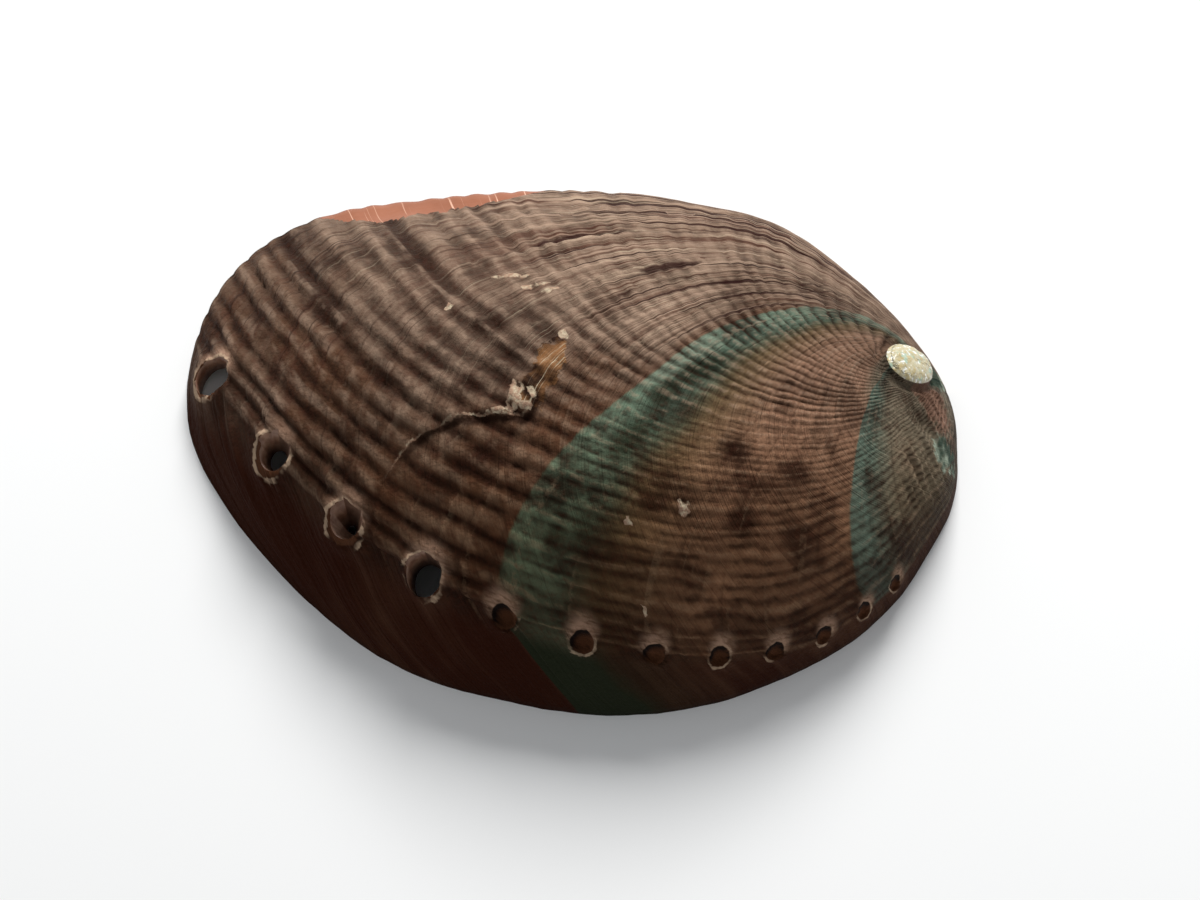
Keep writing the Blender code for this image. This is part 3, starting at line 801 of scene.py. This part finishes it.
TAUPE, PALE_TAUPE, BROWN = rgb(0.225, 0.150, 0.104), rgb(0.420, 0.290, 0.205), rgb(0.105, 0.050, 0.026)
OLD_BROWN, DARK_BROWN, MAROON = rgb(0.385, 0.218, 0.138), rgb(0.015, 0.005, 0.002), rgb(0.062, 0.017, 0.009)
GREEN, PALE_GREEN, DEEP_GREEN = rgb(0.125, 0.185, 0.130), rgb(0.215, 0.250, 0.185), rgb(0.045, 0.085, 0.060)
OLIVE, GREY_OLIVE, SHADED_WALL_GREEN = rgb(0.115, 0.086, 0.038), rgb(0.230, 0.190, 0.130), rgb(0.014, 0.018, 0.008)
SHADED_WALL_RED, TAN, TAN_EDGE = rgb(0.027, 0.005, 0.001), rgb(0.350, 0.215, 0.145), rgb(0.560, 0.400, 0.270)
SALMON, SALMON_PALE, RUST = rgb(0.430, 0.175, 0.105), rgb(0.640, 0.380, 0.270), rgb(0.150, 0.050, 0.022)
CREAM, AMBER = rgb(0.560, 0.460, 0.320), rgb(0.230, 0.105, 0.040)
TEAL, PLUG_SHADOW, PLUG_BROWN = rgb(0.420, 0.500, 0.390), rgb(0.007, 0.003, 0.002), rgb(0.080, 0.030, 0.013)
SECOND_GREEN, SECOND_DARK = rgb(0.120, 0.195, 0.150), rgb(0.018, 0.040, 0.030)
MARK_GREEN = rgb(0.018, 0.032, 0.018)
RED_STAIN, CUT_RED, SHADE_TINT = rgb(0.380, 0.200, 0.135), rgb(0.022, 0.005, 0.004), rgb(1.0, 0.88, 0.70)
CRUST_BUMP, CRUST_SHINE, CRUST_ROUGHNESS, BARE_POLISH = 0.40 * MM, 0.05, 0.66, 0.25
GRAIN_SCALE, SWELL_SCALE, PATCH_SCALE, CLOUD_SCALE = 1100.0, 130.0, 75.0, 28.0
HAIRLINES, FINE_LINES, STOP_LINES, STREAKS, BEADS = 230.0, 130.0, 62.0, 52.0, 30.0

crust = Finish("shell_crust")
where = crust.place()

# What each point keeps, and the noises: some lie on the shell, and some follow its growth and its ribs.
age_here, ribs_here, growth_here = crust.kept("age"), crust.kept("ribs"), crust.kept("growth")
crest_here, lines_here, groove_here = crust.kept("crest"), crust.kept("lines"), crust.kept("groove")
far_here, young_here, wall_here = crust.kept("far"), crust.kept("young"), crust.kept("wall")
low_shade_here, strata_here, soft_here = crust.kept("low"), crust.kept("strata"), crust.kept("soft")
grain = crust.noise(where, GRAIN_SCALE, 4.0)
patches = crust.noise(where, PATCH_SCALE, 4.0, 0.6)
cloud = crust.noise(where, CLOUD_SCALE, 3.0)
swell = crust.noise(where, SWELL_SCALE, 3.0, 0.6)
bent_growth = growth_here + (patches - 0.5) * 0.012
streak = crust.noise(crust.vector(bent_growth * STREAKS, ribs_here * 0.07), 1.0, 4.0, 0.6)
hairline = crust.noise(crust.vector(bent_growth * HAIRLINES, ribs_here * 0.16), 1.0, 3.0, 0.6)
fine_line = crust.noise(crust.vector(bent_growth * FINE_LINES, ribs_here * 0.10, 7.0), 1.0, 2.0, 0.5)
beads = crust.noise(crust.vector(growth_here * BEADS, ribs_here * 0.8, 5.0), 1.0, 3.0, 0.6)

# The brown of the crust, paler on the far side and redder where it is old, streaked along the growth lines.
colour = crust.mix((soft_here * 0.6 + far_here * 0.3 + patches * 1.1 - 0.2).step(0.20, 0.80), BROWN, TAUPE)
colour = crust.mix((1.0 - young_here) * far_here * cloud.step(0.40, 0.66) * 0.5, colour, PALE_TAUPE)
colour = crust.mix(age_here.step(0.70, 0.95) * 0.85, colour, OLD_BROWN)
colour = crust.mix(streak.step(0.50, 0.62) * (0.22 + 0.28 * young_here + 0.35 * strata_here), colour, MAROON)
colour = crust.mix(streak.step(0.46, 0.34) * (0.15 + 0.40 * far_here), colour, PALE_TAUPE)
colour = crust.mix(age_here.step(1.45, 1.60) * patches.step(0.15, 0.45), colour, GREY_OLIVE)
# Painted shade: the younger ribs towards the row of holes are darkened.
colour = crust.mix(ribs_here.step(20.0, 31.0) * age_here.step(0.66, 0.50) * 0.27, colour, DARK_BROWN)

# The two green bands, each with a crisp front and an edge that fades into the older shell.
front = crust.kept("front") + (hairline - 0.5) * 0.012
olive = front.step(-0.004, 0.004) * front.step(0.42, 0.15)
band = front.step(-0.004, 0.004) * (front + (patches - 0.5) * 0.12).step(0.215, 0.10)
band_green = crust.mix((ribs_here.step(28.0, 21.0) * 0.8 + cloud - 0.8).step(0.20, 0.80), GREEN, PALE_GREEN)
deepness = (swell * 0.6 + patches * 0.4 + front * 1.2).step(0.52, 0.72)
band_green = crust.mix(deepness * 0.80, band_green, DEEP_GREEN)
second_front = crust.kept("second_front") + (hairline - 0.5) * 0.014
second = second_front.step(-0.004, 0.006) * (second_front + (patches - 0.5) * 0.12).step(0.26, 0.06)
colour = crust.mix(olive * 0.8, colour, OLIVE)
colour = crust.mix(band, colour, band_green)
second_dark = (patches * 0.5 + swell * 0.5 - second_front.step(0.08, 0.02) * 0.12).step(0.44, 0.60)
second_green = crust.mix(second_dark * 0.85, SECOND_GREEN, SECOND_DARK)
colour = crust.mix(second * 0.9, colour, second_green)

# Stains and painted shade: dark patches, and painted shade in the troughs of the waves, on the low side
# and on the strip along the holes.
marks = crust.kept("dark") + (patches - 0.5) * 2.2
colour = crust.mix(marks.step(-0.30, 0.75) * 0.84, colour, crust.mix(band, DARK_BROWN, MARK_GREEN))
# Painted shade darkens the troughs of the waves.
colour = crust.mix(crust.kept("wave").step(0.1, 0.9) * 0.80, colour, DARK_BROWN)
# Painted shade: the low side turns darker and redder.
colour = crust.mix(low_shade_here * 0.30, colour, crust.mix(0.60, colour, MAROON))
# Painted shade darkens the last ribs along the row of holes.
colour = crust.mix(crust.kept("row_shade") * 0.65, colour, DARK_BROWN)
# Dark blotches on the older shell, kept to the low side: partly stains and partly painted shade.
grime_and_shade = (cloud * 0.5 + patches * 0.5).step(0.42, 0.58) * age_here.step(0.62, 0.75) * low_shade_here.step(0.35, 0.85)
colour = crust.mix(grime_and_shade * 0.50 * (1.0 - second), colour, DARK_BROWN)
colour = crust.mix(crust.kept("red").step(0.0, 0.4) * 0.8, colour, RED_STAIN)
colour = crust.mix(swell.step(0.50, 0.66) * (0.55 - 0.15 * far_here), colour, DARK_BROWN)

# Painted shade in the valleys, painted highlights on the crests, growth lines, and cuts with a painted
# highlight beside them, and at last a warmer, darker low side as painted shade.
# Painted shade darkens the valleys between the ribs.
valley_shade = crest_here.step(0.90, 0.25) * (0.40 + 0.60 * (beads * 0.5 + swell * 0.5).step(0.41, 0.55))
valley_shade = valley_shade * (0.95 - 0.40 * strata_here) * (1.0 - 0.30 * soft_here) * (1.0 - 0.20 * young_here)
valley_shade = valley_shade * (1.0 - 0.26 * age_here.step(0.62, 0.80))
colour = crust.mix(valley_shade, colour, DARK_BROWN)
# Painted highlight: the rib crests are paled, less so on the low side.
lit_crest = crest_here.step(0.72, 1.0) * beads.step(0.60, 0.38) * (1.0 - low_shade_here * 0.4)
colour = crust.mix(lit_crest * 0.34 * (1.0 - strata_here * 0.6), colour, PALE_TAUPE)
young_line = lines_here.step(-0.15, -0.55) * (0.30 + 0.45 * far_here) * (1.0 - band * 0.7)
colour = crust.mix(young_line, colour, DARK_BROWN)
old_line = lines_here.step(0.38, 0.70) * (patches + grain - 0.5).step(0.40, 0.60) * (0.10 + 0.50 * far_here)
colour = crust.mix(old_line, colour, crust.mix(0.3, PALE_TAUPE, CREAM))
colour = crust.mix(fine_line.step(0.60, 0.70) * (0.10 + 0.70 * strata_here), colour, MAROON)
colour = crust.mix(hairline.step(0.55, 0.68) * (0.28 + 0.32 * young_here), colour, DARK_BROWN)
pale_line = hairline.step(0.41, 0.30) * (0.22 * soft_here + 0.33 * far_here)
pale_line = pale_line * (1.0 - 0.6 * age_here.step(0.62, 0.80))
colour = crust.mix(pale_line * (1.0 - band * 0.8), colour, CREAM)
colour = crust.mix(grain.step(0.40, 0.75) * 0.30, colour, MAROON)
stop_line = crust.noise(crust.vector(bent_growth * STOP_LINES, ribs_here * 0.05, 3.0), 1.0, 2.0, 0.5)
layered = (strata_here + young_here * far_here * 0.5).clamp()
cut_line = stop_line.step(0.585, 0.625) * layered
# A painted highlight runs as a pale band beside each dark cut line.
stop_highlight = stop_line.step(0.53, 0.57) * stop_line.step(0.60, 0.58) * layered
colour = crust.mix(stop_highlight * 0.45, colour, PALE_TAUPE)
colour = crust.mix(cut_line * 0.80, colour, CUT_RED)
groove_line = (groove_here + (grain - 0.5) * 0.5 + (swell - 0.5) * 0.8).step(0.42, 0.95)
colour = crust.mix(groove_line * 0.84, colour, CUT_RED)
colour = crust.mix(crust.kept("pitted") * 0.8, colour, DARK_BROWN)
# Painted shade: the low side is tinted warmer and darker.
colour = crust.mix(low_shade_here * 0.85 * (1.0 - second * 0.8), colour, SHADE_TINT, "MULTIPLY")

# The smooth wall below the holes: its own dark red-brown, deepened nearly to black as painted shade.
wall_streak = crust.noise(crust.vector(growth_here * 40.0, wall_here * 0.8), 1.0, 3.0)
shaded_wall_colour = crust.mix((wall_streak * 0.4 + cloud * 0.6).step(0.42, 0.66) * 0.40, SHADED_WALL_RED, BROWN)
shaded_wall_colour = crust.mix((band + olive * 0.4).clamp(), shaded_wall_colour, SHADED_WALL_GREEN)
colour = crust.mix(wall_here.step(0.0, 0.30) * 0.96, colour, shaded_wall_colour)

# Tan chimneys with a pale worn edge that is paler on the lit side as painted highlight, and the plugs of
# the closed holes with painted shadow on the side away from the light.
collar, reach_here, lit_side_here = crust.kept("chimney"), crust.kept("hole_reach"), crust.kept("lit_side")
collar_streak = crust.noise(crust.vector(growth_here * 50.0, ribs_here * 5.0), 1.0, 3.0)
tan = crust.mix(collar_streak.step(0.42, 0.66) * 0.7, TAN, BROWN)
colour = crust.mix((collar * 1.25 - 0.30 + (patches - 0.5) * 0.5).step(0.15, 0.80) * 0.85, colour, tan)
# The pale worn edge, strongest on the lit side of each hole as a painted highlight.
worn_and_lit_edge = (0.15 + 0.85 * lit_side_here) * (reach_here + (grain - 0.5) * 0.30).step(1.18, 1.08)
worn_and_lit_edge = worn_and_lit_edge * (reach_here + (patches - 0.5) * 0.2).step(0.88, 0.96)
colour = crust.mix(worn_and_lit_edge * swell.step(0.56, 0.44) * 0.62, colour, TAN_EDGE)
# The plugs are brown, with a painted shadow towards their edge on the side away from the light.
plug_and_shadow = crust.mix((reach_here.step(0.20, 0.85) * (1.15 - lit_side_here)).clamp(), PLUG_BROWN, PLUG_SHADOW)
colour = crust.mix(reach_here.step(0.96, 0.86), colour, plug_and_shadow)

# The bare salmon strip at the lip.
bare_here = crust.kept("bare")
cross_lines = crust.noise(crust.vector(ribs_here * 7.0, growth_here * 5.0), 1.0, 3.0)
salmon = crust.mix(cross_lines.step(0.58, 0.68), crust.mix(patches, SALMON, RUST), SALMON_PALE)
colour = crust.mix(bare_here.step(0.45, 0.60), colour, salmon)

# The scar with a painted shadow in the ditch below its torn edge, its flap of torn crust, and the cream and
# teal flecks.
scar_here, scar_span_here = crust.kept("scar_gap") + (grain - 0.5) * 0.9, crust.kept("scar_span")
# Painted shadow in the ditch below the torn edge of the scar.
under = scar_here.step(-2.0, -0.7) * scar_here.step(0.1, -0.4) * scar_span_here
colour = crust.mix(under * 0.9, colour, DARK_BROWN)
broken_edge = scar_here.step(-0.15, 0.0) * scar_here.step(0.45, 0.10) * scar_span_here
broken_edge = broken_edge * (swell + patches - 0.5).step(0.60, 0.40)
colour = crust.mix(broken_edge * 0.85, colour, crust.mix(grain.step(0.35, 0.55), CREAM, TAN))
flap_here = crust.kept("flap") + (grain - 0.5) * 0.6 + (patches - 0.5) * 0.6
flap_colour = crust.mix(swell.step(0.42, 0.58), AMBER, DARK_BROWN)
flap_colour = crust.mix((hairline * 0.6 + swell * 0.4).step(0.47, 0.38) * 0.8, flap_colour, CREAM)
colour = crust.mix(flap_here.step(0.05, 0.22) * 0.9, colour, flap_colour)
cream_here = crust.kept("cream") + (grain - 0.5) * 0.9 + (patches - 0.5) * 0.8
colour = crust.mix(cream_here.step(0.10, 0.35) * 0.9, colour, crust.mix(grain.step(0.35, 0.65), CREAM, TAN))
teal_here = crust.kept("teal") + (patches - 0.5) * 0.9 + (grain - 0.5) * 0.5
teal_colour = crust.mix(swell.step(0.45, 0.60), TEAL, DEEP_GREEN)
colour = crust.mix(teal_here.step(0.05, 0.40) * 0.8, colour, teal_colour)

fine_relief = hairline * 1.0 + fine_line * 0.8 + grain * 0.9 + streak * 0.5 - cut_line * 0.9
crust.surface.inputs["Specular IOR Level"].default_value = CRUST_SHINE
crust.feed({
    "Base Color": colour,
    "Roughness": CRUST_ROUGHNESS - BARE_POLISH * bare_here + (grain - 0.5) * 0.12,
    "Normal": crust.bump(fine_relief * (1.0 - bare_here * 0.9), CRUST_BUMP),
})

# The knob of the spire.
# The oldest whorl is worn through to the pearl, which glitters in grains of white, yellow and sea green. It
# is a low dome of the same shell, with a finish but no mesh of its own.
KNOB_CREAM, KNOB_YELLOW = rgb(0.480, 0.430, 0.280), rgb(0.420, 0.300, 0.100)
KNOB_TEAL = rgb(0.300, 0.460, 0.370)
KNOB_WHITE, KNOB_ROUGHNESS, KNOB_BUMP = rgb(0.760, 0.760, 0.700), 0.24, 0.25 * MM
knob_pearl = Finish("worn_spire")
where = knob_pearl.place()
pearls = knob_pearl.noise(where, 1300.0, 2.0)
colour = knob_pearl.mix(pearls.step(0.46, 0.66) * 0.6, KNOB_CREAM, KNOB_YELLOW)
colour = knob_pearl.mix(knob_pearl.noise(where, 700.0, 2.0).step(0.54, 0.66) * 0.7, colour, KNOB_TEAL)
colour = knob_pearl.mix(pearls.step(0.42, 0.34), colour, KNOB_WHITE)
knob_pearl.feed({
    "Base Color": colour,
    "Roughness": KNOB_ROUGHNESS,
    "Normal": knob_pearl.bump(pearls, KNOB_BUMP),
})

# The mother-of-pearl.
# The lining is glossy and shifts between silver, pink and green in slow swirls. It is the inner face of the
# same shell, laid down by the animal in thin layers.
SILVER, PINK, SEA_GREEN = rgb(0.700, 0.690, 0.640), rgb(0.720, 0.470, 0.500), rgb(0.350, 0.620, 0.540)
PEARL_ROUGHNESS, PEARL_COAT, PEARL_BUMP = 0.22, 0.4, 0.6 * MM
pearl = Finish("mother_of_pearl")
where = pearl.place()
swirl = pearl.noise(where, 46.0, 4.0, 0.6)
second_swirl = pearl.noise(pearl.vector(swirl * 3.0, pearl.noise(where, 30.0, 2.0) * 3.0), 2.4, 3.0)
colour = pearl.mix(swirl.step(0.42, 0.58), SILVER, PINK)
colour = pearl.mix(second_swirl.step(0.46, 0.62) * 0.8, colour, SEA_GREEN)
pearl.feed({
    "Base Color": colour,
    "Roughness": PEARL_ROUGHNESS,
    "Coat Weight": PEARL_COAT,
    "Normal": pearl.bump(pearl.noise(where, 160.0, 3.0), PEARL_BUMP),
})

# The lining of the holes.
# The bores show the brown layers of the shell's thickness, a little glossier than the crust. With this last
# finish made, the four finishes go into the shell's slots.
BORE_BROWN, BORE_TAN, BORE_ROUGHNESS = rgb(0.160, 0.070, 0.038), rgb(0.270, 0.150, 0.095), 0.5
bore_brown = Finish("hole_lining")
layers_in_bore = bore_brown.noise(bore_brown.place(), 500.0, 4.0)
bore_brown.feed({
    "Base Color": bore_brown.mix(layers_in_bore.step(0.35, 0.65), BORE_BROWN, BORE_TAN),
    "Roughness": BORE_ROUGHNESS,
})
for slot, finish in enumerate((crust, pearl, bore_brown, knob_pearl)):
    shell.data.materials[slot] = finish.material

# The floor, the light and the camera.
# These aren't part of the object. The floor is plain and pale, one soft lamp stands behind the shell under a
# pale sky, and the camera looks from the photograph's angle.
FLOOR_SIZE, FLOOR_PALE, FLOOR_ROUGHNESS = 6.0, rgb(0.86, 0.86, 0.85), 0.9
SKY, SKY_STRENGTH = rgb(0.95, 0.97, 1.0), 0.42
LAMP_AT, LAMP_SIZE, LAMP_POWER, LAMP_AIM = (0.14, 0.74, 0.62), 0.42, 12.5, (0, 0, 0.01)
deselect_all()
bpy.ops.mesh.primitive_plane_add(size=FLOOR_SIZE, location=(0, 0, 0))
floor = bpy.context.object
floor.name = "floor"
pale = Finish("pale_floor")
pale.feed({"Base Color": FLOOR_PALE, "Roughness": FLOOR_ROUGHNESS})
floor.data.materials.append(pale.material)

scene = bpy.context.scene
scene.view_settings.view_transform = "Standard"
world = bpy.data.worlds.new("studio")
scene.world = world
world.use_nodes = True
world.node_tree.nodes["Background"].inputs["Color"].default_value = SKY
world.node_tree.nodes["Background"].inputs["Strength"].default_value = SKY_STRENGTH


def soft_lamp(name, location, size, power, target):
    lamp = bpy.data.lights.new(name, "AREA")
    lamp.size = size
    lamp.energy = power
    holder = bpy.data.objects.new(name, lamp)
    holder.location = location
    holder.rotation_euler = (Vector(target) - Vector(location)).to_track_quat("-Z", "Y").to_euler()
    scene.collection.objects.link(holder)


soft_lamp("key", LAMP_AT, LAMP_SIZE, LAMP_POWER, LAMP_AIM)

VIEW_ELEVATION, VIEW_DISTANCE, VIEW_AIM = math.radians(68), 1.5, Vector((0.0045, -0.00485, 0.012))
LENS_MM, SENSOR_MM = 279.5, 36.0
camera_data = bpy.data.cameras.new("camera")
camera_data.lens = LENS_MM
camera_data.sensor_width = SENSOR_MM
camera = bpy.data.objects.new("camera", camera_data)
toward = Vector((0.0, -math.cos(VIEW_ELEVATION), math.sin(VIEW_ELEVATION)))
camera.location = VIEW_AIM + toward * VIEW_DISTANCE
camera.rotation_euler = (-toward).to_track_quat("-Z", "Y").to_euler()
scene.collection.objects.link(camera)
scene.camera = camera


def write_sizes():
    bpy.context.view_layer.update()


write_sizes()
